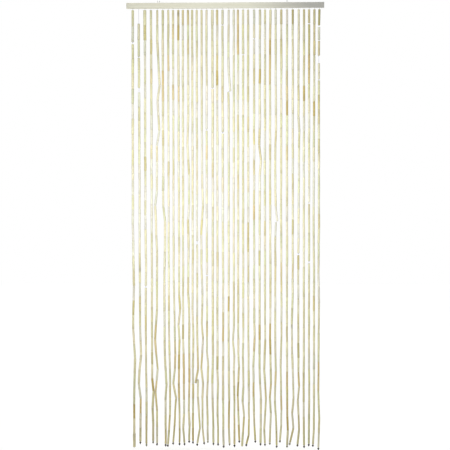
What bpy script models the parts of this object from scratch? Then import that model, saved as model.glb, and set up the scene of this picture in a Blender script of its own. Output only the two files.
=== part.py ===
"""A bamboo bead door curtain and its wooden header rail, in metres, +Z up.

The origin is the middle of the rail's top edge. X runs along the rail, to the right as one faces the
curtain, -Y is the side that one faces, and the strands hang down along -Z.
"""

import math
import random
from collections import namedtuple

import bmesh
import bpy
import numpy as np
from mathutils import Vector

MM = 0.001

# Header rail: a plain batten with slightly broken edges
RAIL_LENGTH = 0.900
RAIL_HEIGHT = 0.026
RAIL_DEPTH = 0.012
RAIL_EDGE_BREAK = 0.0008

# The strip that the cords are fixed in lies in a stopped groove along the rail's underside
CLEARANCE = 0.0003
STRIP_DEPTH = 0.004
STRIP_HEIGHT = 0.004
STRIP_END_MARGIN = 0.012

# Screw eyes: one wire each, bent from a straight shank into a ring
EYE_WIRE_RADIUS = 0.0009
EYE_RING_RADIUS = 0.0043
EYE_RING_CENTRE_Z = 0.0058
EYE_SHANK_LENGTH = 0.012
EYE_ELBOW = (0.0003, 0.0009)
EYE_RING_START = math.radians(-68)
EYE_RING_END = math.radians(242)
EYE_RING_STEPS = 20
EYE_BEVEL_RESOLUTION = 2
EYE_HOLE_SIDES = 16
EYE_LEFT_X = -0.303
EYE_RIGHT_X = 0.282

# Strands: three-sided tubes on a thin cord. Two tubes in a row are turned by half a side, so that
# their joint shows.
TUBE_PITCH = 68.0
TIGHT_JOINT = 2.0
BARE_CORD_SHOWS_FROM = 3.0
CORD_WIDTH = 1.2
CORD_ROOT = 2.0
FIRST_BARE = 7.0
LOWER_TUBES_SLIMMER = 0.15
WIDTH_VARIES = 0.08
JOINT_SWAY = 0.6
BEAD_WIDTH = 8.6
BEAD_BELT_HEIGHT = 3.4
BEAD_FOOT_WIDTH = 3.6
CORD_OVER_BEAD = 2.0
NO_BEAD = (1, 22)
SIDES = 3
STRANDS_IN_LEFT_HALF = 18

# Lengths of the strand tables in millimetres. place: from the rail's left end. width: of the upper
# tubes. length: from the rail's underside to the end bead's middle. forward: how far the lower end
# leans out to the front. bends: (depth below the rail, shift to the right) at the joints that show
# a bend; between them the strand is straight.
Strand = namedtuple("Strand", "place width length forward bends")
STRANDS = (
    Strand(29, 11.0, 2016, 2, ((980, -3), (1270, 1), (1490, -3), (1595, 5), (1750, 1), (2016, 1))),
    Strand(56, 10.6, 1997, -2, ((1430, 2), (1565, 6), (1650, -1), (1720, -5), (1820, 4), (1997, 1))),
    Strand(84, 10.4, 2007, 1, ((980, 0), (1110, 2), (1500, 0), (1775, 3), (2007, 2))),
    Strand(112, 10.6, 1995, -4, ((220, 1), (1690, 1), (1755, 7), (1845, 2), (1950, 5), (1995, 4))),
    Strand(
        141, 10.0, 2002, 4,
        ((150, -1), (335, 10), (440, 1), (540, 8), (650, -3), (800, -3), (895, -11), (1115, -4),
         (1380, -5), (1540, -13), (1661, -2), (1760, -12), (1845, -5), (2002, -5)),
    ),
    Strand(
        166, 10.4, 2008, -4,
        ((890, 0), (1000, 9), (1290, 4), (1565, 6), (1725, 13), (1795, 9), (2008, 9)),
    ),
    Strand(191, 9.6, 2008, 4, ((1480, 1), (1650, 5), (1770, 6), (1877, 5), (1941, 0), (2008, -6))),
    Strand(
        213, 9.4, 1999, -1,
        ((1266, 1), (1340, 3), (1565, 7), (1624, 6), (1712, -2), (1813, 11), (1873, 6), (1941, 3),
         (1999, -3)),
    ),
    Strand(
        237, 9.8, 2001, 2,
        ((1290, 2), (1375, 6), (1434, -1), (1510, 3), (1707, 0), (1845, 3), (2001, 3)),
    ),
    Strand(258, 10.0, 2002, -2, ((1500, -1), (1647, 2), (1826, 3), (1960, -1), (2002, 4))),
    Strand(
        281, 10.2, 1989, 1,
        ((480, 1), (600, -3), (777, 4), (913, 4), (964, -1), (1106, 2), (1294, -1), (1367, 4),
         (1707, 5), (1845, 2), (1941, 5), (1989, 3)),
    ),
    Strand(300, 9.8, 1994, -3, ((1106, 2), (1340, 0), (1487, 4), (1650, 2), (1994, 2))),
    Strand(
        321, 9.6, 2003, 3,
        ((1500, 1), (1640, 5), (1712, -7), (1780, 4), (1909, 8), (1963, 13), (2003, 0)),
    ),
    Strand(
        343, 9.8, 1997, -1,
        ((765, 2), (880, 6), (1030, -2), (1180, -1), (1303, 3), (1432, 0), (1500, 6), (1624, -2),
         (1744, 5), (1794, 3), (1893, 7), (1941, 3), (1997, 10)),
    ),
    Strand(366, 9.6, 1989, 2, ((1590, 1), (1652, 7), (1744, 1), (1877, 3), (1989, 5))),
    Strand(392, 10.8, 2000, -2, ((480, 2), (1600, 2), (1707, -1), (1845, 3), (2000, 4))),
    Strand(414, 10.2, 2002, 0, ((980, 1), (1650, 1), (1740, 3), (1865, 1), (1930, 4), (2002, 4))),
    Strand(439, 10.4, 2011, 2, ((980, 1), (1266, 3), (1760, 2), (1941, 3), (2011, 5))),
    Strand(
        467, 10.0, 2001, -1,
        ((243, -2), (367, 4), (430, 0), (1600, 0), (1770, 2), (1940, 1), (2001, 4)),
    ),
    Strand(490, 9.8, 2007, 1, ((1440, 1), (1512, -3), (1574, 3), (1647, 1), (1780, 3), (2007, 4))),
    Strand(
        509, 9.8, 1988, -2,
        ((1480, 2), (1600, 2), (1650, 5), (1762, 0), (1826, 3), (1958, 9), (1988, 7)),
    ),
    Strand(532, 10.2, 2008, 3, ((1500, 2), (1597, 0), (1700, 3), (1794, 0), (1893, 6), (2008, -3))),
    Strand(555, 9.8, 2004, 0, ((1340, 2), (1762, 5), (1877, 6), (1958, 4), (2004, -7))),
    Strand(582, 10.0, 1988, -3, ((1340, 2), (1530, 4), (1624, -1), (1845, 1), (1909, 4), (1988, 8))),
    Strand(
        609, 10.4, 1999, 2,
        ((560, 0), (626, -3), (693, 5), (760, 0), (1680, 0), (1813, 6), (1999, 5)),
    ),
    Strand(
        632, 9.8, 2002, -1,
        ((980, 1), (1500, 3), (1630, -1), (1776, 7), (1826, 5), (1893, 3), (1953, -1), (2002, 3)),
    ),
    Strand(
        657, 10.2, 1996, 1,
        ((193, -2), (980, 0), (1294, 2), (1500, 1), (1707, 5), (1762, 0), (1826, 4), (1996, 0)),
    ),
    Strand(
        680, 9.8, 2010, -2,
        ((532, 3), (633, 0), (862, 0), (960, 4), (1040, 1), (1500, 1), (1680, 4), (1771, 0),
         (1909, 8), (2010, 9)),
    ),
    Strand(
        706, 9.8, 1985, 2,
        ((980, 1), (1530, 4), (1647, 0), (1826, 8), (1877, 4), (1941, 3), (1985, -2)),
    ),
    Strand(732, 10.2, 2010, -4, ((480, 1), (1487, 3), (1845, 5), (1941, 8), (2010, 4))),
    Strand(
        758, 9.8, 1996, 4,
        ((1150, -1), (1202, 3), (1335, 3), (1432, -1), (1600, 1), (1762, 8), (1822, 2), (1950, 7),
         (1996, -10)),
    ),
    Strand(
        785, 9.8, 2004, -1,
        ((480, 0), (532, 4), (601, 0), (661, 3), (1230, 1), (1294, -3), (1350, 2), (1690, 3),
         (1753, 7), (1813, 1), (1927, 7), (2004, 0)),
    ),
    Strand(809, 10.2, 2009, 2, ((980, 2), (1500, 4), (1650, 3), (1900, 4), (2009, 6))),
    Strand(832, 10.0, 2002, -2, ((980, 3), (1500, 4), (1800, 6), (2002, 5))),
    Strand(856, 10.2, 2004, 1, ((980, 0), (1150, 2), (1600, 3), (1813, 4), (1940, 4), (2004, -1))),
    Strand(
        879, 10.0, 2019, -1,
        ((161, -2), (982, 1), (1179, -1), (1367, 2), (1776, 1), (1890, 5), (1983, 7), (2019, 2)),
    ),
)

# Stretches where the bare cord shows between two tubes: depth of its top below the rail, and length
Gap = namedtuple("Gap", "strand depth length")
GAPS = (
    Gap(1, 151, 10),
    Gap(2, 7, 61),
    Gap(2, 217, 5),
    Gap(2, 359, 21),
    Gap(3, 1268, 9),
    Gap(13, 1060, 16),
    Gap(15, 549, 6),
    Gap(15, 1216, 7),
    Gap(16, 360, 5),
    Gap(18, 73, 5),
    Gap(18, 562, 7),
    Gap(22, 208, 5),
    Gap(24, 136, 5),
    Gap(32, 1116, 9),
    Gap(34, 69, 5),
    Gap(34, 883, 6),
    Gap(34, 1152, 11),
    Gap(36, 79, 8),
    Gap(36, 145, 4),
    Gap(36, 216, 34),
    Gap(36, 323, 5),
)

# Tubes much thicker than their neighbours, counted from the top, or -1 for a strand's last tube
OddTube = namedtuple("OddTube", "strand tube width")
ODD_TUBES = (
    OddTube(1, -1, 12.0),
    OddTube(3, 0, 13.6),
    OddTube(3, 1, 13.0),
    OddTube(16, 0, 12.2),
)

# One cross-section of a strand; turn counts how many half sides it is turned by
Ring = namedtuple("Ring", "depth width turn")


def clear_scene():
    for obj in list(bpy.data.objects):
        bpy.data.objects.remove(obj)


def material(name, colour, roughness, metallic=0.0):
    made = bpy.data.materials.new(name)
    made.use_nodes = True
    shader = made.node_tree.nodes["Principled BSDF"]
    shader.inputs["Base Color"].default_value = (*colour, 1.0)
    shader.inputs["Roughness"].default_value = roughness
    shader.inputs["Metallic"].default_value = metallic
    return made


def new_object(name, data, surface=None):
    obj = bpy.data.objects.new(name, data)
    if surface:
        data.materials.append(surface)
    bpy.context.scene.collection.objects.link(obj)
    return obj


def mesh_object(name, bm, surface=None):
    mesh = bpy.data.meshes.new(name)
    bm.to_mesh(mesh)
    bm.free()
    return new_object(name, mesh, surface)


def combine(obj, helper, operation):
    """Cuts a helper object out of another one, or joins it on."""
    helper.hide_render = True
    helper.display_type = "WIRE"
    modifier = obj.modifiers.new(operation.title(), "BOOLEAN")
    modifier.operation = operation
    modifier.object = helper


def box(low, high):
    bm = bmesh.new()
    corners = bmesh.ops.create_cube(bm, size=1.0)["verts"]
    low, high = Vector(low), Vector(high)
    for corner in corners:
        corner.co = [low[i] + (high[i] - low[i]) * (corner.co[i] + 0.5) for i in range(3)]
    return bm


def groove_box(left, right, around, over):
    """A box along the rail's underside, around the strip's section by the given gaps."""
    half = STRIP_DEPTH / 2 + around
    bottom = -RAIL_HEIGHT - over
    return box((left, -half, bottom), (right, half, -RAIL_HEIGHT + STRIP_HEIGHT + around))


def header_rail(wood):
    half = RAIL_LENGTH / 2
    batten = box((-half, -RAIL_DEPTH / 2, -RAIL_HEIGHT), (half, RAIL_DEPTH / 2, 0))
    rail = mesh_object("header_rail", batten, wood)
    bevel = rail.modifiers.new("Edge break", "BEVEL")
    bevel.width = RAIL_EDGE_BREAK
    bevel.segments = 1
    groove = groove_box(STRIP_END_MARGIN - half, half - STRIP_END_MARGIN, CLEARANCE, CLEARANCE)
    combine(rail, mesh_object("groove_cutter", groove), "DIFFERENCE")
    for x in (EYE_LEFT_X, EYE_RIGHT_X):
        combine(rail, eye_hole(x), "DIFFERENCE")


def eye_hole(x):
    """The hole that a screw eye's shank stands in."""
    depth = EYE_SHANK_LENGTH + CLEARANCE
    radius = EYE_WIRE_RADIUS + CLEARANCE
    bm = bmesh.new()
    bmesh.ops.create_cone(
        bm, cap_ends=True, segments=EYE_HOLE_SIDES, radius1=radius, radius2=radius, depth=2 * depth
    )
    hole = mesh_object("eye_hole_cutter", bm)
    hole.location.x = x
    return hole


def screw_eye(name, x, turned, steel):
    """A wire that rises out of the rail, bends aside and runs around a ring, almost to its shank."""
    points = [(0, -EYE_SHANK_LENGTH), (0, 0), EYE_ELBOW]
    for k in range(EYE_RING_STEPS + 1):
        angle = EYE_RING_START + (EYE_RING_END - EYE_RING_START) * k / EYE_RING_STEPS
        points.append(
            (EYE_RING_RADIUS * math.cos(angle), EYE_RING_CENTRE_Z + EYE_RING_RADIUS * math.sin(angle))
        )
    curve = bpy.data.curves.new(name, "CURVE")
    curve.dimensions = "3D"
    curve.bevel_depth = EYE_WIRE_RADIUS
    curve.bevel_resolution = EYE_BEVEL_RESOLUTION
    curve.use_fill_caps = True
    spline = curve.splines.new("POLY")
    spline.points.add(len(points) - 1)
    for point, (along, up) in zip(spline.points, points):
        point.co = (along, 0, up, 1)
    spline.use_smooth = True
    eye = new_object(name, curve, steel)
    eye.location.x = x
    eye.rotation_euler.z = turned


def tubes_of(number, strand):
    """(top, bottom) depths of the strand's tubes, with whole tubes between its bare stretches."""
    end = strand.length
    if number not in NO_BEAD:
        end -= BEAD_WIDTH / 2 + CORD_OVER_BEAD
    bare = [(0, FIRST_BARE)]
    bare += [(gap.depth, gap.depth + gap.length) for gap in GAPS if gap.strand == number]
    bare.append((end, end))
    tubes = []
    for (_, start), (stop, _) in zip(bare, bare[1:]):
        count = round((stop - start) / TUBE_PITCH)
        for k in range(count):
            step = (stop - start + TIGHT_JOINT) / count
            tubes.append((start + k * step, start + (k + 1) * step - TIGHT_JOINT))
    return tubes


def path_of(strand, tubes, rng):
    """Depths, and shifts to the right and to the front, of the points where the strand may bend."""
    depths = [0.0, tubes[0][0]]
    depths += [(upper[1] + lower[0]) / 2 for upper, lower in zip(tubes, tubes[1:])]
    depths.append(strand.length)
    shifts = {0.0: 0.0}
    for depth, shift in strand.bends:
        nearest = min(depths[1:], key=lambda joint: abs(joint - depth))
        shifts[nearest] = shift
    known = sorted(shifts)
    right = np.interp(depths, known, [shifts[depth] for depth in known])
    front = strand.forward * np.array(depths) / strand.length
    for k in range(2, len(depths)):
        right[k] += rng.uniform(-JOINT_SWAY, JOINT_SWAY)
        front[k] += rng.uniform(-JOINT_SWAY, JOINT_SWAY)
    return depths, right, front


def rings_of(number, strand, tubes, rng):
    """The strand's cross-sections, from the cord's root in the strip to the end bead."""
    odd = {tube.tube % len(tubes): tube.width for tube in ODD_TUBES if tube.strand == number}
    rings = [Ring(-CORD_ROOT, CORD_WIDTH, 0), Ring(tubes[0][0], CORD_WIDTH, 0)]
    for k, (top, bottom) in enumerate(tubes):
        slimmer = 1 - LOWER_TUBES_SLIMMER * top / strand.length
        width = strand.width * slimmer * rng.uniform(1 - WIDTH_VARIES, 1 + WIDTH_VARIES)
        width = odd.get(k, width)
        if k and top - tubes[k - 1][1] > BARE_CORD_SHOWS_FROM:
            rings.append(Ring(tubes[k - 1][1], CORD_WIDTH, k - 1))
            rings.append(Ring(top, CORD_WIDTH, k))
        rings.append(Ring(top, width, k))
        rings.append(Ring(bottom, width, k))
    if number not in NO_BEAD:
        last = len(tubes) - 1
        middle = strand.length
        rings.append(Ring(rings[-1].depth, CORD_WIDTH, last))
        rings.append(Ring(middle - BEAD_WIDTH / 2, CORD_WIDTH, last))
        rings.append(Ring(middle - BEAD_BELT_HEIGHT / 2, BEAD_WIDTH, last))
        rings.append(Ring(middle + BEAD_BELT_HEIGHT / 2, BEAD_WIDTH, last))
        rings.append(Ring(middle + BEAD_WIDTH / 2, BEAD_FOOT_WIDTH, last))
    return rings


def add_strand(bm, number, strand):
    """Adds one strand as a closed body whose sides run from ring to ring."""
    rng = random.Random(number)
    first_turn = rng.randrange(2)
    tubes = tubes_of(number, strand)
    depths, right, front = path_of(strand, tubes, rng)
    above = above_turn = None
    for ring in rings_of(number, strand, tubes, rng):
        x = strand.place + np.interp(ring.depth, depths, right)
        y = -np.interp(ring.depth, depths, front)
        # Seen from the front, a three-sided ring of this radius is as wide as the round tube
        radius = ring.width / math.sqrt(3)
        corners = []
        for k in range(SIDES):
            angle = math.pi / 2 + math.tau * (k + (first_turn + ring.turn) / 2) / SIDES
            side, back = radius * math.cos(angle), radius * math.sin(angle)
            place = Vector((x + side, y + back, -ring.depth)) * MM
            corners.append(bm.verts.new(place + Vector((-RAIL_LENGTH / 2, 0, -RAIL_HEIGHT))))
        if above:
            join_rings(bm, above, corners, ring.turn != above_turn)
        else:
            bm.faces.new(corners)
        above, above_turn = corners, ring.turn
    bm.faces.new(reversed(above))


def join_rings(bm, upper, lower, turned):
    for k in range(SIDES):
        after = (k + 1) % SIDES
        if turned:
            bm.faces.new((upper[k], lower[k], upper[after]))
            bm.faces.new((lower[k], lower[after], upper[after]))
        else:
            bm.faces.new((upper[k], lower[k], lower[after], upper[after]))


def strands(name, first, last, left, right, bamboo):
    """The strands from the first to the last number, fused to their strip from left to right."""
    bm = bmesh.new()
    for number in range(first, last + 1):
        add_strand(bm, number, STRANDS[number - 1])
    curtain = mesh_object(name, bm, bamboo)
    strip = mesh_object(name + "_strip", groove_box(left, right, 0, 0), bamboo)
    combine(curtain, strip, "UNION")


def main():
    clear_scene()
    wood = material("rail_wood", (0.72, 0.70, 0.57), 0.6)
    bamboo = material("bamboo", (0.62, 0.57, 0.40), 0.5)
    steel = material("eye_steel", (0.35, 0.34, 0.33), 0.35, 1.0)
    header_rail(wood)
    screw_eye("screw_eye_left", EYE_LEFT_X, 0, steel)
    screw_eye("screw_eye_right", EYE_RIGHT_X, math.pi / 2, steel)
    end = RAIL_LENGTH / 2 - STRIP_END_MARGIN - CLEARANCE
    middle = CLEARANCE / 2
    strands("strands_left", 1, STRANDS_IN_LEFT_HALF, -end, -middle, bamboo)
    strands("strands_right", STRANDS_IN_LEFT_HALF + 1, len(STRANDS), middle, end, bamboo)


main()
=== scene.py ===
"""Looks of the bamboo bead door curtain and its rail, in metres, +Z up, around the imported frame.

-Y is the front. Each tube, cord and bead takes its place and size from the frame's own strands.
"""

import math
from collections import defaultdict, namedtuple

import bmesh
import bpy
import numpy as np
from mathutils import Matrix, Vector


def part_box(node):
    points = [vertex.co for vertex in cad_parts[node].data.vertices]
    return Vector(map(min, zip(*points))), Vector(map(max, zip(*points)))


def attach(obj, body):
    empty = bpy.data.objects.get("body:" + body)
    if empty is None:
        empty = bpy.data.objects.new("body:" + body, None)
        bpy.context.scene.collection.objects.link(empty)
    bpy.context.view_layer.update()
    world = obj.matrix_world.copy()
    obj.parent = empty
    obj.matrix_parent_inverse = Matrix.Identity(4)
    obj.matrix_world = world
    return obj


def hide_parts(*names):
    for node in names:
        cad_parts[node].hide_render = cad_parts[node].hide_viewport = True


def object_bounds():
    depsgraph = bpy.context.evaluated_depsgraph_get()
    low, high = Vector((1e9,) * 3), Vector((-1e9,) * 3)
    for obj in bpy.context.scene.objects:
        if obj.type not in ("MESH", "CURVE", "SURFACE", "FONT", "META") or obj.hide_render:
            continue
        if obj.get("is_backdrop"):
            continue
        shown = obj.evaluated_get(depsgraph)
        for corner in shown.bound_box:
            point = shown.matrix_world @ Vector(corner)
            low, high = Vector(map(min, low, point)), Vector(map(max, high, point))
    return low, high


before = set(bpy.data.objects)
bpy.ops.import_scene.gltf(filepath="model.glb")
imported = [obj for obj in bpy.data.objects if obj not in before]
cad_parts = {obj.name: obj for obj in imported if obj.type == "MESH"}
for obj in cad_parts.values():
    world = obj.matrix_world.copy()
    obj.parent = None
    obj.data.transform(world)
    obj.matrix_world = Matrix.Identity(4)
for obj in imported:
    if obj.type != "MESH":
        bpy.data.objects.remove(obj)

CAD_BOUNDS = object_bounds()
MM = 0.001

Tube = namedtuple("Tube", "strand number top bottom radius")
Strand = namedtuple("Strand", "number root tubes bead bead_radius")
Part = namedtuple("Part", "points faces values map")
Caught = namedtuple("Caught", "tube foot_shift top_shift off_foot over_top")

# Camera of the photo, fitted to the rail's corners, the strands and the end beads
CAMERA_PLACE = (0.113, -4.314, -0.865)
CAMERA_TILT = math.radians(-1.962)
CAMERA_TURN = math.radians(1.5)
CAMERA_FIELD = math.radians(26.889)

# Floor and lights
FLOOR_Z = CAD_BOUNDS[0].z - 0.025
FLOOR_SIZE = 16.0
FLOOR_MIDDLE, FLOOR_FAR = (0.84, 0.84, 0.84), (0.94, 0.94, 0.94)
FLOOR_FADE = 3.5
ROOM_LIGHT, ROOM_SEEN = 0.10, 1.0
SKY_POWER = 3.2
SKY_ANGLE = math.radians(12)
SOFTBOX_SIZE = (0.8, 1.5)
SOFTBOX_SPREAD = math.radians(90)
SOFTBOX_AIM = (0, 0, -0.77)
KEY_PLACE, KEY_POWER = (-0.3, -1.8, -0.77), 12.5
FILL_PLACE, FILL_POWER = (0.3, 1.8, -0.77), 5

# Reading the frame. A tube's solid has three sides, and the round tube is a little narrower than
# its corners.
RAIL_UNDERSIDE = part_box("header_rail")[0].z
JUST_UNDER_RAIL = RAIL_UNDERSIDE - 0.5 * MM
WELD = 0.001 * MM
LEVEL_STEP = 0.01 * MM
ROUND_TO_CORNER = math.sqrt(3) / 2
STRANDS_A_PIECE = 2

# Cords and knots
CORD_RADIUS = 0.6 * MM
CORD_SIDES = 8
CORD_IN_STRIP = 1.5 * MM
KNOT_RADIUS = 2.3 * MM
KNOT_STEPS = 42
KNOT_LIFT = 1.3
KNOT_LEAN = 0.9
NO_LINE_ALONG = (0.3, 1.0, 0.2)
TAIL = 3.0 * MM

# How far a knot's middle lies under what the knot holds up, as a share of its radius
KNOT_UNDER_BEAD, KNOT_UNDER_LAST_TUBE, KNOT_UNDER_TUBE = 0.6, 0.4, 0.5

# Bamboo tubes
TUBE_SIDES = 20
CUT_BEVEL = 0.35 * MM
BORE_SHARE = 0.5
BORE_SPREAD = (0.85, 1.1)
WALL_ROWS = 7
MOST_TAPER = 0.035
MOST_OVAL = 0.035
MOST_LOBE = 0.012
LOBES, LOBE_TWIST = 3, 5
MOST_BOW = 0.5 * MM
MOST_SLANT = 0.04
SLANT_REACH = 6 * MM
MOST_FADE = 0.12
PATTERN_SPREAD = 900
SHARP_EDGE = math.radians(42)

# Nodes of the bamboo: how many tubes have one, where it may be, and the rows of corners it takes
RIDGE_CHANCE = 0.4
RIDGE_PLACES = (0.12, 0.88)
RIDGE_ROWS = (-1.8 * MM, -0.6 * MM, 0.3 * MM, 1.4 * MM)
RIDGE_CREST, RIDGE_CREST_WIDTH = 0.075, 0.9 * MM
RIDGE_GROOVE, RIDGE_GROOVE_WIDTH, RIDGE_GROOVE_PLACE = 0.03, 0.6 * MM, 1.5 * MM
NO_RIDGE = 99 * MM

# Joints between tubes: up to where they count as tight or straight, and how far straight ones slip
TIGHT_JOINT = 3.0 * MM
JOINT_CLEARANCE = 0.1 * MM
STRAIGHT_JOINT = math.radians(2.5)
SLIP_STEP, SLIP_MOST = 1.8 * MM, 7.0 * MM

# End beads
BEAD_FULLER = (1.09, 1.16)
BEAD_ROWS = 13
BEAD_SIDES = 20
BEAD_HOLE = math.radians(17)

# Holes for the cords in the strip
HOLE_RADIUS = 1.3 * MM
HOLE_DEPTH = 5 * MM
HOLE_SIDES = 14

# Screw eyes: the bend from the shank to the ring, in millimetres sideways and up, then the ring
EYE_BEND = ((0, -0.4), (0.1, 0.4), (0.4, 1.0))
EYE_RING_START = -66
EYE_RING_TURN = 306
EYE_RING_STEPS = 44
EYE_WIRE_SIDES = 14

# Random numbers start from one of these and the strand's number
TUBE_SEED_STEP = 1000
SLIP_SEED = 4000
BEAD_SEED = 7000

# A pair of strands shares one UV map, with a cell for each tube. Up a cell lie the tube's cut, its
# wall from WALL_LOW over WALL_SPAN, its other cut and, from BORE_LOW up, its bore.
CELL_COLUMNS = 9
CELL_ROWS = 7
CELL_MARGIN = 0.004
WALL_LOW, WALL_SPAN, BORE_LOW = 0.04, 0.82, 0.90

# Natural tones of the bamboo, as linear colours
TONES = {
    "pale": (0.685, 0.665, 0.455),
    "cream": (0.62, 0.592, 0.408),
    "straw": (0.588, 0.564, 0.352),
    "pale green": (0.577, 0.575, 0.365),
    "grey": (0.61, 0.60, 0.475),
    "yellow": (0.585, 0.574, 0.318),
    "olive": (0.545, 0.53, 0.31),
    "ochre": (0.558, 0.504, 0.238),
    "caramel": (0.578, 0.5, 0.274),
    "rust": (0.55, 0.445, 0.205),
    "brown": (0.53, 0.483, 0.27),
    "umber": (0.456, 0.366, 0.12),
    "dark": (0.47, 0.427, 0.195),
    "black": (0.387, 0.355, 0.15),
}
COMMON_TONES = ("cream", "straw", "pale green", "grey")
COMMON_SHARES = (0.34, 0.34, 0.20, 0.12)
COMMON_SPREAD, STATED_SPREAD, HUE_SPREAD = 0.09, 0.04, 0.02

# The lower tubes are a little fuller, and painted shade makes them a little darker and yellower,
# between these heights
LOWER_PAINTED_SHADE = (0.945, 0.915, 0.81)
LOWER_FULLER = 0.08
LOWER_FROM, LOWER_TO = -1.1, -1.9

# Scorches: strand and tube, and from where to where along it, from 0 at its top to 1
SCORCHES = {(9, 1): (0.05, 0.35), (2, 17): (0.0, 0.3), (31, 22): (0.0, 0.3)}
SCORCHED = 0.62

# Tubes that stand out from the common tones, by strand. They are counted down from the rail.
STANDING_OUT = {
    1: {
        "grey": (2, 14, 15), "yellow": (3, 4, 10), "brown": (18,), "dark": (20,), "umber": (27,),
        "pale": (28,),
    },
    2: {"olive": (6,), "grey": (10, 11, 13, 14, 18), "brown": (16, 19), "rust": (26,)},
    3: {"ochre": (2, 22), "grey": (3, 6, 13, 15), "dark": (11,), "brown": (29, 30)},
    4: {"ochre": (3,), "brown": (5, 24), "grey": (9, 11, 14), "umber": (26,)},
    5: {"grey": (7, 9), "yellow": (19, 20), "rust": (22,), "caramel": (23, 26, 27), "brown": (24,)},
    6: {"olive": (1, 2), "rust": (5,), "caramel": (6, 29), "brown": (9,)},
    7: {
        "olive": (2, 3), "caramel": (4, 20, 26, 28), "grey": (5,), "brown": (11,),
        "pale": (18, 19), "yellow": (23,),
    },
    8: {"caramel": (2, 6, 24), "brown": (11, 23, 29), "ochre": (27, 28)},
    9: {
        "brown": (1, 27), "umber": (2, 24), "caramel": (6,), "grey": (11,), "ochre": (20, 23),
        "rust": (25, 26), "dark": (29,),
    },
    10: {
        "caramel": (1, 26), "grey": (2,), "olive": (18, 19), "dark": (22,), "rust": (24, 25),
        "pale": (28,),
    },
    11: {"caramel": (1, 3, 24, 26), "brown": (11, 15, 19), "grey": (14,), "rust": (25,)},
    12: {"olive": (1, 2), "brown": (17,), "ochre": (26, 28), "umber": (29,)},
    13: {"olive": (3, 18), "grey": (13, 14), "caramel": (23, 24, 25), "yellow": (28,)},
    14: {"grey": (9, 10, 16), "olive": (14, 22), "ochre": (15,), "caramel": (24,)},
    15: {"grey": (7, 8), "olive": (9,), "caramel": (10,), "yellow": (17,), "brown": (22,)},
    16: {"brown": (11,), "yellow": (21, 22, 25), "olive": (28,)},
    17: {
        "caramel": (1,), "ochre": (4,), "umber": (5,), "grey": (10, 11, 13), "brown": (17,),
        "dark": (24,),
    },
    18: {"brown": (6, 21), "grey": (13, 14), "rust": (22,)},
    19: {"grey": (1, 4, 5, 10, 14), "olive": (6,), "umber": (20, 27), "caramel": (28,)},
    20: {"grey": (1, 2, 12), "brown": (19, 20, 26), "caramel": (28, 29)},
    21: {"caramel": (1, 12, 25, 27), "rust": (2, 3, 29), "brown": (8, 19, 21), "umber": (26,)},
    22: {"yellow": (2, 6, 8, 15, 19, 21), "olive": (10, 11, 12, 14), "ochre": (28,)},
    23: {"olive": (4,), "brown": (6, 8, 18), "dark": (15, 16, 29), "yellow": (25,), "ochre": (28,)},
    24: {
        "brown": (5, 11, 13), "ochre": (9, 29), "grey": (12,), "rust": (14, 26), "caramel": (23,),
    },
    25: {"umber": (5, 22), "brown": (9, 10), "dark": (17,), "olive": (23, 24), "pale": (27, 29)},
    26: {
        "grey": (2, 9, 14), "olive": (13, 20), "brown": (15, 23), "caramel": (26,),
        "yellow": (27,),
    },
    27: {
        "caramel": (2, 26), "umber": (3, 22, 23), "rust": (4, 5), "brown": (10, 19),
        "ochre": (13,),
    },
    28: {"brown": (9, 17, 29), "grey": (14,), "caramel": (18, 25)},
    29: {"brown": (1, 3), "caramel": (18, 19, 27)},
    30: {
        "brown": (5, 22), "caramel": (6, 10), "umber": (7, 28), "pale": (23,), "rust": (25, 27),
        "ochre": (26,),
    },
    31: {"black": (1,), "pale": (6,), "grey": (11,), "brown": (12, 18, 29), "dark": (15,)},
    32: {"brown": (6, 21, 28), "olive": (9,), "grey": (11, 13), "dark": (17, 23), "rust": (25,)},
    33: {
        "brown": (1, 4, 25, 26), "yellow": (3,), "umber": (6,), "grey": (11,), "olive": (19, 21),
    },
    34: {"brown": (1,), "dark": (2, 3), "rust": (4, 5), "yellow": (6, 25)},
    35: {"brown": (1, 2), "ochre": (3, 20), "umber": (7,), "grey": (11, 12, 13)},
    36: {
        "black": (1,), "brown": (3, 7, 9, 14), "ochre": (6,), "pale": (8,), "rust": (24,),
        "caramel": (25,),
    },
}

# End beads, as linear colours. Most are black; the strands with a lighter one are listed.
BEAD_STAINS = {
    "black": (0.04, 0.03, 0.022),
    "brown": (0.10, 0.085, 0.06),
    "bare": (0.27, 0.26, 0.18),
}
LIGHTER_BEADS = {
    "brown": (2, 5, 8, 14, 16, 25, 26, 28, 29, 32, 33, 36),
    "bare": (3, 4, 15, 19, 27, 30, 31),
}

# How much higher some joints lie than in the solid, in millimetres, so that bends come to their
# own height. By strand; a joint goes by the number of the tube above it.
MOVED_JOINTS = {
    4: {24: 10, 25: 20, 26: 29, 27: 19, 28: 9},
    5: {24: 2, 25: 15, 26: 31, 27: 14, 28: 7},
    13: {23: 7, 24: 14, 25: 17, 26: 20, 27: 13, 28: 6},
    19: {2: -5, 3: -11, 4: -18, 5: -27, 6: -20, 7: -13, 8: -6},
    23: {25: -4, 26: -11, 27: -20, 28: -28},
}

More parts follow.
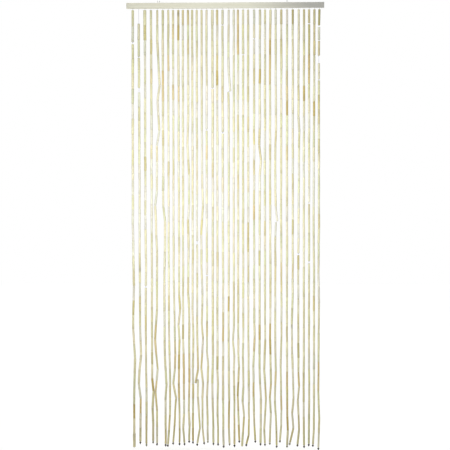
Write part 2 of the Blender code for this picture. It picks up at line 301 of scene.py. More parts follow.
# Strands caught up on themselves, in millimetres: one tube's top comes beside the foot of the tube
# above, each shifted, with the cord looped over from the foot to the top
CAUGHT = {
    13: Caught(
        tube=26,
        foot_shift=(0, 3, 0),
        top_shift=(11.5, -3.5, 18),
        off_foot=((0.5, -1.2, -2.4), (3.5, -5.2, -3.4), (5.7, -7.2, 1.1), (5.8, -7.9, 9.1)),
        over_top=((-4.9, -2.2, -0.9), (-3.2, -1.7, 2.6), (-0.8, -0.4, 3.5)),
    ),
    19: Caught(
        tube=6,
        foot_shift=(3.3, 2, 0),
        top_shift=(-5.2, -2, -2.5),
        off_foot=((-0.3, -0.2, -1.4), (-3.6, -1.6, -1.6)),
        over_top=((3.1, 0.9, 2.0), (1.4, 0.3, 2.6), (0.3, 0, 1.2)),
    ),
    28: Caught(
        tube=15,
        foot_shift=(6, 2.5, 1),
        top_shift=(0, -2.5, -2.5),
        off_foot=((-0.2, -0.3, -1.5), (-2.6, -2.4, -2.2)),
        over_top=((2.2, 1.8, 1.8), (0.6, 0.5, 2.3), (0.1, 0, 1.0)),
    ),
}

# Materials: linear colours, and places in metres. A tint is what a colour is multiplied by. The
# node's line and the twine's pitch are in millimetres, as the tubes' marks and the twist are.
NOISE_LOW, NOISE_HIGH = 0.3, 0.7
BAMBOO_STAIN = (0.11, 0.08, 0.05)
BAMBOO_PITH = (0.56, 0.50, 0.36)
BAMBOO_CLOUD_TINT = (0.72, 0.66, 0.50)
NODE_LINE_BELOW_CREST = 1.2
# The rail's pale wood, and the grey of a painted shade that darkens it towards the right, between
# these places along it
RAIL_PALE, RAIL_RIGHT_SHADE = (0.64, 0.638, 0.54), (0.41, 0.413, 0.388)
RAIL_RIGHT_SHADE_FROM, RAIL_RIGHT_SHADE_TO = 0.10, 0.38
RAIL_STREAK_TINT = (0.80, 0.74, 0.60)
RAIL_RING_TINT = (0.84, 0.78, 0.64)
RAIL_WORN = (0.30, 0.27, 0.20)
RAIL_WORN_FROM, RAIL_WORN_TO = 0.2 * MM, 1.6 * MM
# Painted shade darkens the rail along its bottom edge and at its left end: its grey, and how far it
# reaches
RAIL_EDGE_SHADE = (0.22, 0.22, 0.22)
RAIL_BOTTOM_SHADE_HEIGHT, RAIL_LEFT_SHADE_LENGTH = 4 * MM, 22 * MM
RAIL_PITH_PLACE = (0, 0.018, -0.052)
RAIL_RING_WIDTH, RAIL_RING_WANDER = 3.1 * MM, 14 * MM
# Twine: grey painted shade in the creases between its plies, and the plies' own colour
TWINE_CREASE_SHADE, TWINE_PLY = (0.15, 0.15, 0.20), (0.42, 0.42, 0.48)
TWINE_PLIES = 2.0
TWINE_PITCH = 1.6
BEAD_RUBBED = (0.20, 0.15, 0.10)
STEEL_BRIGHT, STEEL_DULL = (0.60, 0.58, 0.54), (0.36, 0.33, 0.30)


# Reading the strands from the frame


def islands(bm):
    """The points of each separate body of the mesh.

    They come in the mesh's own order, because a set's order changes from run to run.
    """
    reached = set()
    for start in bm.verts:
        if start in reached:
            continue
        reached.add(start)
        found = [start]
        for vert in found:
            for edge in vert.link_edges:
                other = edge.other_vert(vert)
                if other not in reached:
                    reached.add(other)
                    found.append(other)
        yield [vert.co.copy() for vert in found]


def wide_rings(points):
    """(middle, radius) of each ring of corners that is wider than the cord, from the top down."""
    levels = defaultdict(list)
    for point in points:
        levels[round(point.z / LEVEL_STEP)].append(point)
    rings = []
    for level in sorted(levels, reverse=True):
        corners = levels[level]
        middle = sum(corners, Vector()) / len(corners)
        reach = max((corner - middle).length for corner in corners)
        if reach > 2 * CORD_RADIUS:
            rings.append((middle, reach * ROUND_TO_CORNER))
    return rings


def read_strands(node, first_number):
    """The strands of a CAD node, counted from the left."""
    bm = bmesh.new()
    bm.from_mesh(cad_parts[node].data)
    bmesh.ops.remove_doubles(bm, verts=bm.verts, dist=WELD)
    in_strip = [vert for vert in bm.verts if vert.co.z > JUST_UNDER_RAIL]
    bmesh.ops.delete(bm, geom=in_strip, context="VERTS")
    found = sorted((wide_rings(points) for points in islands(bm)), key=lambda rings: rings[0][0].x)
    bm.free()
    return [strand_from(rings, number) for number, rings in enumerate(found, start=first_number)]


def strand_from(rings, number):
    """A strand from its rings: two for each tube, then three for the bead if it has one."""
    bead, bead_radius = None, 0.0
    if len(rings) % 2:
        (above, bead_radius), (below, _), _ = rings[-3:]
        bead = (above + below) / 2
        rings = rings[:-3]
    tubes = []
    for k in range(0, len(rings), 2):
        (top, radius), (bottom, _) = rings[k], rings[k + 1]
        tubes.append(Tube(number, k // 2 + 1, top, bottom, radius))
    move_joints(tubes, MOVED_JOINTS.get(number, {}))
    if number in CAUGHT:
        catch_up(tubes, CAUGHT[number])
    root = Vector((rings[0][0].x, rings[0][0].y, RAIL_UNDERSIDE))
    return Strand(number, root, close_joints(slip_joints(tubes)), bead, bead_radius)


def move_joints(tubes, rises):
    """Moves joints up by so many millimetres, each named by the tube above it."""
    for number, rise in rises.items():
        upper, lower = tubes[number - 1:number + 1]
        lift = Vector((0, 0, rise)) * MM
        tubes[number - 1] = upper._replace(bottom=upper.bottom + lift)
        tubes[number] = lower._replace(top=lower.top + lift)


def catch_up(tubes, caught):
    """Sets one tube's top beside the foot of the tube above."""
    above, beside = tubes[caught.tube - 2:caught.tube]
    tubes[caught.tube - 2] = above._replace(bottom=above.bottom + Vector(caught.foot_shift) * MM)
    tubes[caught.tube - 1] = beside._replace(top=beside.top + Vector(caught.top_shift) * MM)


def is_caught(tube):
    """Whether the next tube hangs beside this one's foot."""
    return tube.strand in CAUGHT and tube.number == CAUGHT[tube.strand].tube - 1


def slip_joints(tubes):
    """Tubes of slightly unlike lengths: joints of a straight stretch lie a bit higher or lower."""
    rng = np.random.default_rng(SLIP_SEED + tubes[0].strand)
    tubes = list(tubes)
    slip = 0.0
    for k, step in enumerate(rng.normal(0, SLIP_STEP, len(tubes) - 1)):
        upper, lower = tubes[k], tubes[k + 1]
        along_upper = upper.bottom - upper.top
        along_lower = lower.bottom - lower.top
        loose = (lower.top - upper.bottom).length > TIGHT_JOINT
        if loose or along_upper.angle(along_lower) > STRAIGHT_JOINT:
            slip = 0.0
            continue
        slip = float(np.clip(slip + step, -SLIP_MOST, SLIP_MOST))
        shift = (lower.bottom - upper.top).normalized() * slip
        tubes[k] = upper._replace(bottom=upper.bottom + shift)
        tubes[k + 1] = lower._replace(top=lower.top + shift)
    return tubes


def close_joints(tubes):
    """Tubes that follow closely rest on each other, as far as the bend between them lets them."""
    tops = [tube.top for tube in tubes]
    bottoms = [tube.bottom for tube in tubes]
    for k, (upper, lower) in enumerate(zip(tubes, tubes[1:])):
        gap = (lower.top - upper.bottom).length
        if gap > TIGHT_JOINT:
            continue
        along_upper = (upper.bottom - upper.top).normalized()
        along_lower = (lower.bottom - lower.top).normalized()
        bend = along_upper.angle(along_lower)
        reach = gap / 2 - JOINT_CLEARANCE - upper.radius * math.tan(bend / 2)
        bottoms[k] = upper.bottom + along_upper * max(reach, 0)
        tops[k + 1] = lower.top - along_lower * max(reach, 0)
    return [
        tube._replace(top=top, bottom=bottom) for tube, top, bottom in zip(tubes, tops, bottoms)
    ]


# Meshes


def loft_faces(rows, sides, closed):
    """Quads between rows of points, which run round outwards and down.

    closed joins the last row to the first.
    """
    row = np.arange(rows if closed else rows - 1)[:, None]
    side = np.arange(sides)[None, :]
    after_row = (row + 1) % rows
    after_side = (side + 1) % sides
    corners = (
        row * sides + side,
        row * sides + after_side,
        after_row * sides + after_side,
        after_row * sides + side,
    )
    return np.stack(corners, axis=-1).reshape(-1, 4)


def sides_around(axis):
    """Two directions across an axis that runs about down: they and the axis are right-handed."""
    across = Vector(axis).cross(Vector((0, 1, 0))).normalized()
    return np.array(across), np.array(Vector(axis).cross(across))


def piece_from(name, parts, material, node):
    """One mesh object of joined parts, their values as point attributes, in place of a CAD node."""
    points = np.concatenate([part.points for part in parts])
    faces = []
    start = 0
    for part in parts:
        faces += [tuple(corner + start for corner in face) for face in part.faces]
        start += len(part.points)
    mesh = bpy.data.meshes.new(name)
    mesh.from_pydata(points, [], faces)
    for key in parts[0].values:
        values = np.concatenate([part.values[key] for part in parts]).astype(np.float32)
        kind = "FLOAT_COLOR" if values.shape[1] == 4 else "FLOAT_VECTOR"
        attribute = mesh.attributes.new(key, kind, "POINT")
        socket = "color" if kind == "FLOAT_COLOR" else "vector"
        attribute.data.foreach_set(socket, values.ravel())
    if parts[0].map is not None:
        flat = np.concatenate([part.map for part in parts]).astype(np.float32)
        mesh.uv_layers.new(name="OFBake")
        mesh.uv_layers["OFBake"].uv.foreach_set("vector", flat.ravel())
    mesh.materials.append(material)
    mesh.shade_smooth()
    mesh.set_sharp_from_angle(angle=SHARP_EDGE)
    piece = bpy.data.objects.new(name, mesh)
    bpy.context.scene.collection.objects.link(piece)
    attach(piece, "root")
    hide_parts(node)


# Bamboo tubes


def lowness(tube):
    """From 0 for a tube in the upper half to 1 for one near the bottom."""
    return float(np.clip((tube.top.z - LOWER_FROM) / (LOWER_TO - LOWER_FROM), 0, 1))


def scorch_of(tube, share):
    """What the tone is multiplied by at each share of the tube's length."""
    if (tube.strand, tube.number) not in SCORCHES:
        return np.ones_like(share)
    start, end = SCORCHES[tube.strand, tube.number]
    return np.where((share >= start) & (share <= end), SCORCHED, 1.0)


def tone_of(tube, rng):
    """The tube's linear colour: a stated tone or a common one, a little lighter or darker, and
    painted shade low down.
    """
    common = rng.choice(len(COMMON_TONES), p=COMMON_SHARES)
    tone, spread = COMMON_TONES[common], COMMON_SPREAD
    for name, numbers in STANDING_OUT[tube.strand].items():
        if tube.number in numbers:
            tone, spread = name, STATED_SPREAD
    # Painted shade: the lower tubes a little darker and yellower
    lower_shade = 1 - lowness(tube) * (1 - np.array(LOWER_PAINTED_SHADE))
    lighter = rng.uniform(1 - spread, 1 + spread)
    hue = rng.uniform(1 - HUE_SPREAD, 1 + HUE_SPREAD, 3)
    return np.array(TONES[tone]) * lower_shade * lighter * hue


def ridge_height(distance):
    """How far a node of the bamboo stands out, as a share of the radius, by distance from it."""
    groove_distance = distance - RIDGE_GROOVE_PLACE
    crest = RIDGE_CREST * np.exp(-((distance / RIDGE_CREST_WIDTH) ** 2))
    groove = RIDGE_GROOVE * np.exp(-((groove_distance / RIDGE_GROOVE_WIDTH) ** 2))
    return crest - groove


def bamboo_tube(tube, cell):
    """A cut length of bamboo: bored, slightly bowed, oval and tapered, and some with a node."""
    rng = np.random.default_rng(TUBE_SEED_STEP * tube.strand + tube.number)
    line = tube.bottom - tube.top
    length = line.length
    has_ridge = rng.random() < RIDGE_CHANCE
    ridge = length * rng.uniform(*RIDGE_PLACES)
    if not has_ridge:
        ridge = -NO_RIDGE
    taper = rng.uniform(-MOST_TAPER, MOST_TAPER)
    oval, oval_turn = rng.uniform(0.0, MOST_OVAL), rng.uniform(0, math.tau)
    lobe, lobe_turn = rng.uniform(0.0, MOST_LOBE), rng.uniform(0, math.tau)
    bow, bow_turn = rng.uniform(0.0, 1.0) * MOST_BOW, rng.uniform(0, math.tau)
    slant, slant_turn = rng.uniform(0.0, MOST_SLANT, 2), rng.uniform(0, math.tau, 2)
    bore = tube.radius * BORE_SHARE * rng.uniform(*BORE_SPREAD)
    tone = tone_of(tube, rng)
    fade = rng.uniform(-MOST_FADE, MOST_FADE)
    offset = rng.uniform(0, PATTERN_SPREAD, 3)

    wall = list(np.linspace(CUT_BEVEL, length - CUT_BEVEL, WALL_ROWS))
    if has_ridge:
        wall = sorted(wall + [ridge + row for row in RIDGE_ROWS])
    along = np.array([0, 0, *wall, length, length])
    share = along / length
    in_upper_half = share < 0.5
    widest = tube.radius * (1 + LOWER_FULLER * lowness(tube))
    radius = widest * (1 + taper * (2 * share - 1) + ridge_height(along - ridge))
    radius[[1, -2]] -= CUT_BEVEL
    radius[[0, -1]] = bore
    in_cut = np.zeros(len(along))
    in_cut[[0, 1, -2, -1]] = 1

    turn = np.arange(TUBE_SIDES) * math.tau / TUBE_SIDES
    shape = 1 + oval * np.cos(2 * (turn - oval_turn))[None, :]
    shape = shape + lobe * np.sin(LOBES * turn[None, :] + LOBE_TWIST * share[:, None] + lobe_turn)
    reach = radius[:, None] * shape
    slant_here = np.where(in_upper_half, slant[0], slant[1])[:, None]
    slant_turn_here = np.where(in_upper_half, slant_turn[0], slant_turn[1])[:, None]
    tilt = slant_here * np.cos(turn[None, :] - slant_turn_here)
    from_end = np.minimum(along, length - along)
    near_end = np.clip(1 - from_end / SLANT_REACH, 0, 1)[:, None]
    inward = np.where(in_upper_half, 1, -1)[:, None]
    down = along[:, None] + inward * near_end * tube.radius * (np.abs(slant).max() + tilt)

    axis = np.array(line.normalized())
    side, front = sides_around(line.normalized())
    bow_way = math.cos(bow_turn) * side + math.sin(bow_turn) * front
    bowed = (bow * 4 * share * (1 - share))[:, None] * bow_way
    x, y = reach * np.cos(turn), reach * np.sin(turn)
    points = np.array(tube.top) + bowed[:, None, :] + down[..., None] * axis
    points = points + x[..., None] * side + y[..., None] * front

    shade = (1 + fade * (2 * share - 1)) * scorch_of(tube, share)
    colour = np.ones((*x.shape, 4))
    colour[..., :3] = tone * shade[:, None, None]
    grain = np.stack([x / MM, y / MM, down / MM], axis=-1) + offset
    marks = np.zeros((*x.shape, 3))
    marks[..., 0] = ((along - ridge) / MM)[:, None]
    marks[..., 1] = (from_end / MM)[:, None]
    marks[..., 2] = in_cut[:, None]
    values = {
        "tone": colour.reshape(-1, 4),
        "grain": grain.reshape(-1, 3),
        "marks": marks.reshape(-1, 3),
    }
    faces = loft_faces(len(along), TUBE_SIDES, True)
    return Part(points.reshape(-1, 3), faces.tolist(), values, tube_map(share, cell))


def tube_map(share, cell):
    """The tube's skin laid flat in its cell of the pair's UV map."""
    column, row = cell % CELL_COLUMNS, cell // CELL_COLUMNS
    rows = np.array([0.0, *(WALL_LOW + WALL_SPAN * share[1:-1]), BORE_LOW, 1.0])
    turns = np.arange(TUBE_SIDES + 1) / TUBE_SIDES
    u = CELL_MARGIN + (column + turns * (1 - 2 * CELL_MARGIN * CELL_COLUMNS)) / CELL_COLUMNS
    v = CELL_MARGIN + (row + rows * (1 - 2 * CELL_MARGIN * CELL_ROWS)) / CELL_ROWS
    low, high = v[:-1, None], v[1:, None]
    left, right = u[None, :-1], u[None, 1:]
    corners = ((left, low), (right, low), (right, high), (left, high))
    flat = [np.stack(np.broadcast_arrays(*corner), axis=-1) for corner in corners]
    return np.stack(flat, axis=2).reshape(-1, 2)


def tube_pieces(strands, node, material):
    for k in range(0, len(strands), STRANDS_A_PIECE):
        group = strands[k:k + STRANDS_A_PIECE]
        tubes = [tube for strand in group for tube in strand.tubes]
        parts = [bamboo_tube(tube, cell) for cell, tube in enumerate(tubes)]
        name = "tubes_" + "_".join(f"{strand.number:02d}" for strand in group)
        piece_from(name, parts, material, node)


# Cords, knots and beads


def swept(line, radius, sides, closed):
    """A round body along a line of points, with flat ends unless the line closes on itself."""
    line = np.array(line, float)
    if closed:
        ahead = np.roll(line, -1, axis=0) - np.roll(line, 1, axis=0)
    else:
        ahead = np.gradient(line, axis=0)
    ahead /= np.linalg.norm(ahead, axis=1)[:, None]
    across = np.cross(ahead[0], NO_LINE_ALONG)
    frames = []
    for direction in ahead:
        across = across - direction * (across @ direction)
        across /= np.linalg.norm(across)
        frames.append((across, np.cross(direction, across)))
    turn = np.arange(sides) * math.tau / sides
    points = np.array([
        place + radius * (np.cos(turn)[:, None] * one + np.sin(turn)[:, None] * two)
        for place, (one, two) in zip(line, frames)
    ])
    steps = np.linalg.norm(np.diff(line, axis=0), axis=1)
    along = np.concatenate([[0.0], np.cumsum(steps)]) / MM
    twist = np.zeros((len(line), sides, 3))
    twist[..., 0] = np.cos(turn)
    twist[..., 1] = np.sin(turn)
    twist[..., 2] = along[:, None]
    faces = loft_faces(len(line), sides, closed).tolist()
    if not closed:
        faces.append(list(range(sides))[::-1])
        faces.append([(len(line) - 1) * sides + k for k in range(sides)])
    return Part(points.reshape(-1, 3), faces, {"twist": twist.reshape(-1, 3)}, None)


def knot(place, turned):
    """An overhand knot drawn tight, as a line that loops through itself three times."""
    t = np.arange(KNOT_STEPS) * math.tau / KNOT_STEPS
    x = np.sin(t) + 2 * np.sin(2 * t)
    y = np.cos(t) - 2 * np.cos(2 * t)
    loop = np.stack([x, y, -KNOT_LIFT * np.sin(3 * t)], axis=1)
    loop *= (KNOT_RADIUS - CORD_RADIUS) / 3
    spin = np.array(Matrix.Rotation(turned, 3, "Z") @ Matrix.Rotation(KNOT_LEAN, 3, "X"))
    return swept(np.array(place) + loop @ spin.T, CORD_RADIUS, CORD_SIDES, True)


def cord_line(strand):
    """Points of the cord, from its root in the strip to its tail under the bead or last tube."""
    line = [strand.root + Vector((0, 0, CORD_IN_STRIP)), strand.root]
    for tube in strand.tubes:
        line += [tube.top, tube.bottom]
        if is_caught(tube):
            caught, below = CAUGHT[strand.number], strand.tubes[tube.number]
            line += [tube.bottom + Vector(step) * MM for step in caught.off_foot]
            line += [below.top + Vector(step) * MM for step in caught.over_top]
    if strand.bead:
        line.append(strand.bead)
    line.append(last_knot(strand) - Vector((0, 0, TAIL)))
    return line


def last_knot(strand):
    """The place of the knot under the bead, or under the last tube where there is no bead."""
    if strand.bead:
        return strand.bead - Vector((0, 0, strand.bead_radius + KNOT_UNDER_BEAD * KNOT_RADIUS))
    return strand.tubes[-1].bottom - Vector((0, 0, KNOT_UNDER_LAST_TUBE * KNOT_RADIUS))


def knots_of(strand):
    """A knot under each tube that has a bare stretch below it, and one at the strand's end."""
    places = [last_knot(strand)]
    for upper, lower in zip(strand.tubes, strand.tubes[1:]):
        if (lower.top - upper.bottom).length > TIGHT_JOINT and not is_caught(upper):
            places.append(upper.bottom - Vector((0, 0, KNOT_UNDER_TUBE * KNOT_RADIUS)))
    return [knot(place, strand.number + 2.0 * k) for k, place in enumerate(places)]


def turned_bead(strand):
    """A small turned bead with a hole down its middle."""
    rng = np.random.default_rng(BEAD_SEED + strand.number)
    radius = strand.bead_radius * rng.uniform(*BEAD_FULLER)
    angles = np.linspace(BEAD_HOLE, math.pi - BEAD_HOLE, BEAD_ROWS)[:, None]
    turn = np.arange(BEAD_SIDES) * math.tau / BEAD_SIDES
    reach = radius * np.sin(angles)
    points = np.zeros((BEAD_ROWS, BEAD_SIDES, 3))
    points[..., 0] = strand.bead.x + reach * np.cos(turn)
    points[..., 1] = strand.bead.y - reach * np.sin(turn)
    points[..., 2] = strand.bead.z + radius * np.cos(angles)
    grain = (points - np.array(strand.bead)) / MM + rng.uniform(0, PATTERN_SPREAD, 3)
    kinds = [kind for kind, numbers in LIGHTER_BEADS.items() if strand.number in numbers]
    stain = np.ones((BEAD_ROWS, BEAD_SIDES, 4))
    stain[..., :3] = BEAD_STAINS[kinds[0] if kinds else "black"]
    values = {"grain": grain.reshape(-1, 3), "stain": stain.reshape(-1, 4)}
    faces = loft_faces(BEAD_ROWS, BEAD_SIDES, True).tolist()
    return Part(points.reshape(-1, 3), faces, values, None)


# Strip and screw eyes


def root_strip(strands, node, wood):
    """The wooden strip in the rail's groove, with a small hole for each cord."""
    corners = [v.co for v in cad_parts[node].data.vertices if v.co.z > JUST_UNDER_RAIL]
    low = Vector(min(c[k] for c in corners) for k in range(3))
    high = Vector(max(c[k] for c in corners) for k in range(3))
    bm = bmesh.new()
    bmesh.ops.create_cube(bm, size=1)
    for vert in bm.verts:
        vert.co = (low + high) / 2 + vert.co * (high - low)
    mesh = bpy.data.meshes.new(node + "_strip")
    bm.to_mesh(mesh)
    strip = bpy.data.objects.new("strip_" + node.split("_")[1], mesh)
    bpy.context.scene.collection.objects.link(strip)
    holes = bmesh.new()
    for strand in strands:
        bmesh.ops.create_cone(
            holes, cap_ends=True, segments=HOLE_SIDES, radius1=HOLE_RADIUS, radius2=HOLE_RADIUS,
            depth=HOLE_DEPTH, matrix=Matrix.Translation(strand.root),
        )
    cutter_mesh = bpy.data.meshes.new("strip_holes")
    holes.to_mesh(cutter_mesh)
    cutter = bpy.data.objects.new("strip_holes", cutter_mesh)
    bpy.context.scene.collection.objects.link(cutter)
    cut = strip.modifiers.new("Holes", "BOOLEAN")
    cut.operation = "DIFFERENCE"
    cut.object = cutter
    bpy.context.view_layer.update()
    evaluated = strip.evaluated_get(bpy.context.evaluated_depsgraph_get())
    drilled = bpy.data.meshes.new_from_object(evaluated)
    strip.modifiers.clear()
    strip.data = drilled
    bpy.data.objects.remove(cutter)
    drilled.materials.clear()
    drilled.materials.append(wood)
    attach(strip, "root")
    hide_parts(node)


def screw_eye(node, steel):
    """The wire eye of a CAD node, finer: its shank, the bend out of it and the ring."""
    low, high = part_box(node)
    faces_front = high.x - low.x > high.y - low.y
    wide = max(high.x - low.x, high.y - low.y)
    wire = min(high.x - low.x, high.y - low.y) / 2
    ring = wide / 2 - wire
    middle_z = high.z - wire - ring
    outline = [(0, low.z), (0, low.z * 0.5)]
    outline += [(sideways * MM, up * MM) for sideways, up in EYE_BEND]
    for k in range(EYE_RING_STEPS + 1):
        angle = math.radians(EYE_RING_START + EYE_RING_TURN * k / EYE_RING_STEPS)
        outline.append((ring * math.cos(angle), middle_z + ring * math.sin(angle)))
    x, y = (low.x + high.x) / 2, (low.y + high.y) / 2
    line = [(x + a, y, z) if faces_front else (x, y + a, z) for a, z in outline]
    eye = swept(line, wire, EYE_WIRE_SIDES, False)
    piece_from(node.replace("screw_eye", "wire_eye"), [eye], steel, node)


# Materials


class Nodes:
    """Short ways to add and link the nodes of one material."""

    def __init__(self, name, **sockets):
        self.material = bpy.data.materials.new(name)
        self.material.use_nodes = True
        self.tree = self.material.node_tree
        self.surface = self.tree.nodes["Principled BSDF"]
        for key, value in sockets.items():
            self.surface.inputs[key].default_value = value

    def put(self, socket, value):
        if isinstance(value, bpy.types.NodeSocket):
            self.tree.links.new(value, socket)
        else:
            socket.default_value = value

    def coat(self, **sockets):
        """Links values to the surface's sockets; an underscore stands for a space."""
        for key, value in sockets.items():
            self.put(self.surface.inputs[key.replace("_", " ")], value)

    def add(self, kind, inputs, output=0, **settings):
        node = self.tree.nodes.new(kind)
        for key, value in settings.items():
            setattr(node, key, value)
        for key, value in inputs.items():
            self.put(node.inputs[key], value)
        return node.outputs[output]

    def attribute(self, name, output="Vector"):
        return self.add("ShaderNodeAttribute", {}, output, attribute_name=name)

    def place(self):
        return self.add("ShaderNodeTexCoord", {}, "Object")

    def math(self, operation, *values):
        return self.add("ShaderNodeMath", dict(enumerate(values)), operation=operation)

    def parts(self, vector):
        """The three parts of a vector."""
        return self.add("ShaderNodeSeparateXYZ", {0: vector}).node.outputs

    def length(self, vector):
        return self.add("ShaderNodeVectorMath", {0: vector}, "Value", operation="LENGTH")

    def stretch(self, vector, scale):
        return self.add("ShaderNodeVectorMath", {0: vector, 1: scale}, operation="MULTIPLY")

    def noise(self, vector, scale, detail=3.0):
        """Noise with its own scale along each axis."""
        inputs = {"Vector": self.stretch(vector, scale), "Scale": 1.0, "Detail": detail}
        return self.add("ShaderNodeTexNoise", inputs | {"Roughness": 0.55})

    def ramp(self, value, low, high, start=0.0, end=1.0):
        inputs = {"Value": value, "From Min": low, "From Max": high, "To Min": start, "To Max": end}
        return self.add("ShaderNodeMapRange", inputs, clamp=True)

    def mix(self, share, one, two, blend="MIX"):
        node = self.tree.nodes.new("ShaderNodeMix")
        node.data_type = "RGBA"
        node.blend_type = blend
        for key, value in ((0, share), (6, one), (7, two)):
            if not isinstance(value, bpy.types.NodeSocket) and node.inputs[key].type == "RGBA":
                value = (*value, 1)
            self.put(node.inputs[key], value)
        return node.outputs[2]

    def grained(self, colour, noise, dark, light, low=NOISE_LOW):
        """The colour, from dark to light times as bright with a noise."""
        level = self.ramp(noise, low, NOISE_HIGH, dark, light)
        grey = self.add("ShaderNodeCombineColor", {0: level, 1: level, 2: level})
        return self.mix(1.0, colour, grey, "MULTIPLY")

    def tinted(self, share, colour, tint):
        """The colour, mixed by a share with itself times a tint."""
        return self.mix(share, colour, self.mix(1.0, colour, tint, "MULTIPLY"))

    def bump(self, height, distance, strength=1.0):
        inputs = {"Height": height, "Distance": distance, "Strength": strength}
        self.coat(Normal=self.add("ShaderNodeBump", inputs))


def bamboo():
    """Waxy bamboo skin: fine fibres, cloudy stains, dark specks, a dark line at each node."""
    nodes = Nodes("bamboo", Roughness=0.42)
    grain = nodes.attribute("grain")
    from_ridge, from_end, in_cut = nodes.parts(nodes.attribute("marks"))
    fibres = nodes.noise(grain, (2.2, 2.2, 0.07), 4.0)
    clouds = nodes.noise(grain, (0.16, 0.16, 0.045))
    specks = nodes.noise(grain, (0.55, 0.55, 0.28), 2.0)
    colour = nodes.grained(nodes.attribute("tone", "Color"), fibres, 0.84, 1.12)
    colour = nodes.tinted(nodes.ramp(clouds, 0.45, 0.75, 0.0, 0.45), colour, BAMBOO_CLOUD_TINT)
    colour = nodes.mix(nodes.ramp(specks, 0.70, 0.80, 0.0, 0.6), colour, BAMBOO_STAIN)
    from_line = nodes.math("ABSOLUTE", nodes.math("SUBTRACT", from_ridge, NODE_LINE_BELOW_CREST))
    colour = nodes.mix(nodes.ramp(from_line, 0.2, 1.1, 0.45, 0.0), colour, BAMBOO_STAIN)
    rim = nodes.ramp(from_end, 0.3, 2.2, 0.22, 0.0)
    rim = nodes.math("MULTIPLY", rim, nodes.ramp(clouds, 0.4, 0.6, 0.25, 1.0))
    colour = nodes.mix(rim, colour, BAMBOO_STAIN)
    colour = nodes.mix(in_cut, colour, BAMBOO_PITH)
    nodes.coat(Base_Color=colour, Roughness=nodes.ramp(clouds, 0.35, NOISE_HIGH, 0.42, 0.62))
    nodes.bump(fibres, 0.06 * MM, 0.7)
    return nodes.material


def rail_wood():
    """Planed pale softwood: long rings, fine grain, worn edges, and painted shade greying its ends
    and bottom edge.
    """
    nodes = Nodes("rail_wood", Roughness=0.55)
    low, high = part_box("header_rail")
    place = nodes.place()
    x, y, z = nodes.parts(place)[:3]
    fine = nodes.noise(place, (9, 900, 900), 4.0)
    streaks = nodes.noise(place, (2.5, 160, 160))
    patches = nodes.noise(place, (90, 260, 260))

    wander = nodes.noise(place, (1.6, 14, 14), 2.0)
    across = {0: nodes.stretch(place, (0, 1, 1)), 1: RAIL_PITH_PLACE}
    from_pith = nodes.length(nodes.add("ShaderNodeVectorMath", across, operation="SUBTRACT"))
    from_pith = nodes.math("ADD", from_pith, nodes.math("MULTIPLY", wander, RAIL_RING_WANDER))
    rings = nodes.math("SINE", nodes.math("MULTIPLY", from_pith, math.tau / RAIL_RING_WIDTH))

    from_top, from_bottom = nodes.math("MULTIPLY", z, -1.0), nodes.math("SUBTRACT", z, low.z)
    from_face = nodes.math("SUBTRACT", high.y, nodes.math("ABSOLUTE", y))
    from_edge = nodes.math("MAXIMUM", nodes.math("MINIMUM", from_top, from_bottom), from_face)
    worn = nodes.ramp(from_edge, RAIL_WORN_FROM, RAIL_WORN_TO, 1.0, 0.0)
    worn = nodes.math("MULTIPLY", worn, nodes.ramp(patches, 0.46, 0.60))
    # Painted shade: darker along the bottom edge and at the left end
    bottom_edge_shade = nodes.ramp(z, low.z, low.z + RAIL_BOTTOM_SHADE_HEIGHT, 0.10, 0.0)
    left_end_shade = nodes.ramp(x, low.x, low.x + RAIL_LEFT_SHADE_LENGTH, 0.12, 0.0)

    # Painted shade: greyer towards the rail's right end
    colour = nodes.mix(nodes.ramp(x, RAIL_RIGHT_SHADE_FROM, RAIL_RIGHT_SHADE_TO), RAIL_PALE, RAIL_RIGHT_SHADE)
    colour = nodes.grained(colour, fine, 0.86, 1.08)
    colour = nodes.tinted(nodes.ramp(streaks, 0.45, 0.75, 0.0, 0.5), colour, RAIL_STREAK_TINT)
    colour = nodes.tinted(nodes.ramp(rings, 0.1, 1.0, 0.0, 0.45), colour, RAIL_RING_TINT)
    colour = nodes.mix(nodes.math("MULTIPLY", worn, 0.4), colour, RAIL_WORN)
    # Painted shade along the bottom edge and at the left end
    colour = nodes.mix(nodes.math("MAXIMUM", bottom_edge_shade, left_end_shade), colour, RAIL_EDGE_SHADE)
    rough = nodes.ramp(fine, NOISE_LOW, NOISE_HIGH, 0.48, 0.66)
    rough = nodes.math("SUBTRACT", rough, nodes.math("MULTIPLY", worn, 0.12))
    nodes.coat(Base_Color=colour, Roughness=rough)
    height = nodes.math("ADD", fine, nodes.math("MULTIPLY", rings, 0.12))
    nodes.bump(nodes.math("SUBTRACT", height, nodes.math("MULTIPLY", worn, 0.8)), 0.08 * MM, 0.6)
    return nodes.material


def twine():
    """Two-ply twine, off-white where its plies stand out, grey painted shade between, and a raised
    twist.
    """
    nodes = Nodes("twine", Roughness=0.6)
    twist = nodes.attribute("twist")
    around, across, along = nodes.parts(twist)
    turn = nodes.math("MULTIPLY", nodes.math("ARCTAN2", across, around), TWINE_PLIES)
    phase = nodes.math("ADD", nodes.math("MULTIPLY", along, math.tau / TWINE_PITCH), turn)
    ply = nodes.math("SINE", phase)
    fibres = nodes.noise(twist, (2.0, 2.0, 1.1))
    # Painted shade in the creases between the plies
    colour = nodes.mix(nodes.ramp(ply, -0.8, 0.5), TWINE_CREASE_SHADE, TWINE_PLY)
    colour = nodes.grained(colour, fibres, 0.85, 1.10)
    nodes.coat(Base_Color=colour, Roughness=nodes.ramp(fibres, NOISE_LOW, NOISE_HIGH, 0.55, 0.8))
    nodes.bump(nodes.math("ADD", ply, nodes.math("MULTIPLY", fibres, 0.5)), 0.1 * MM, 0.8)
    return nodes.material


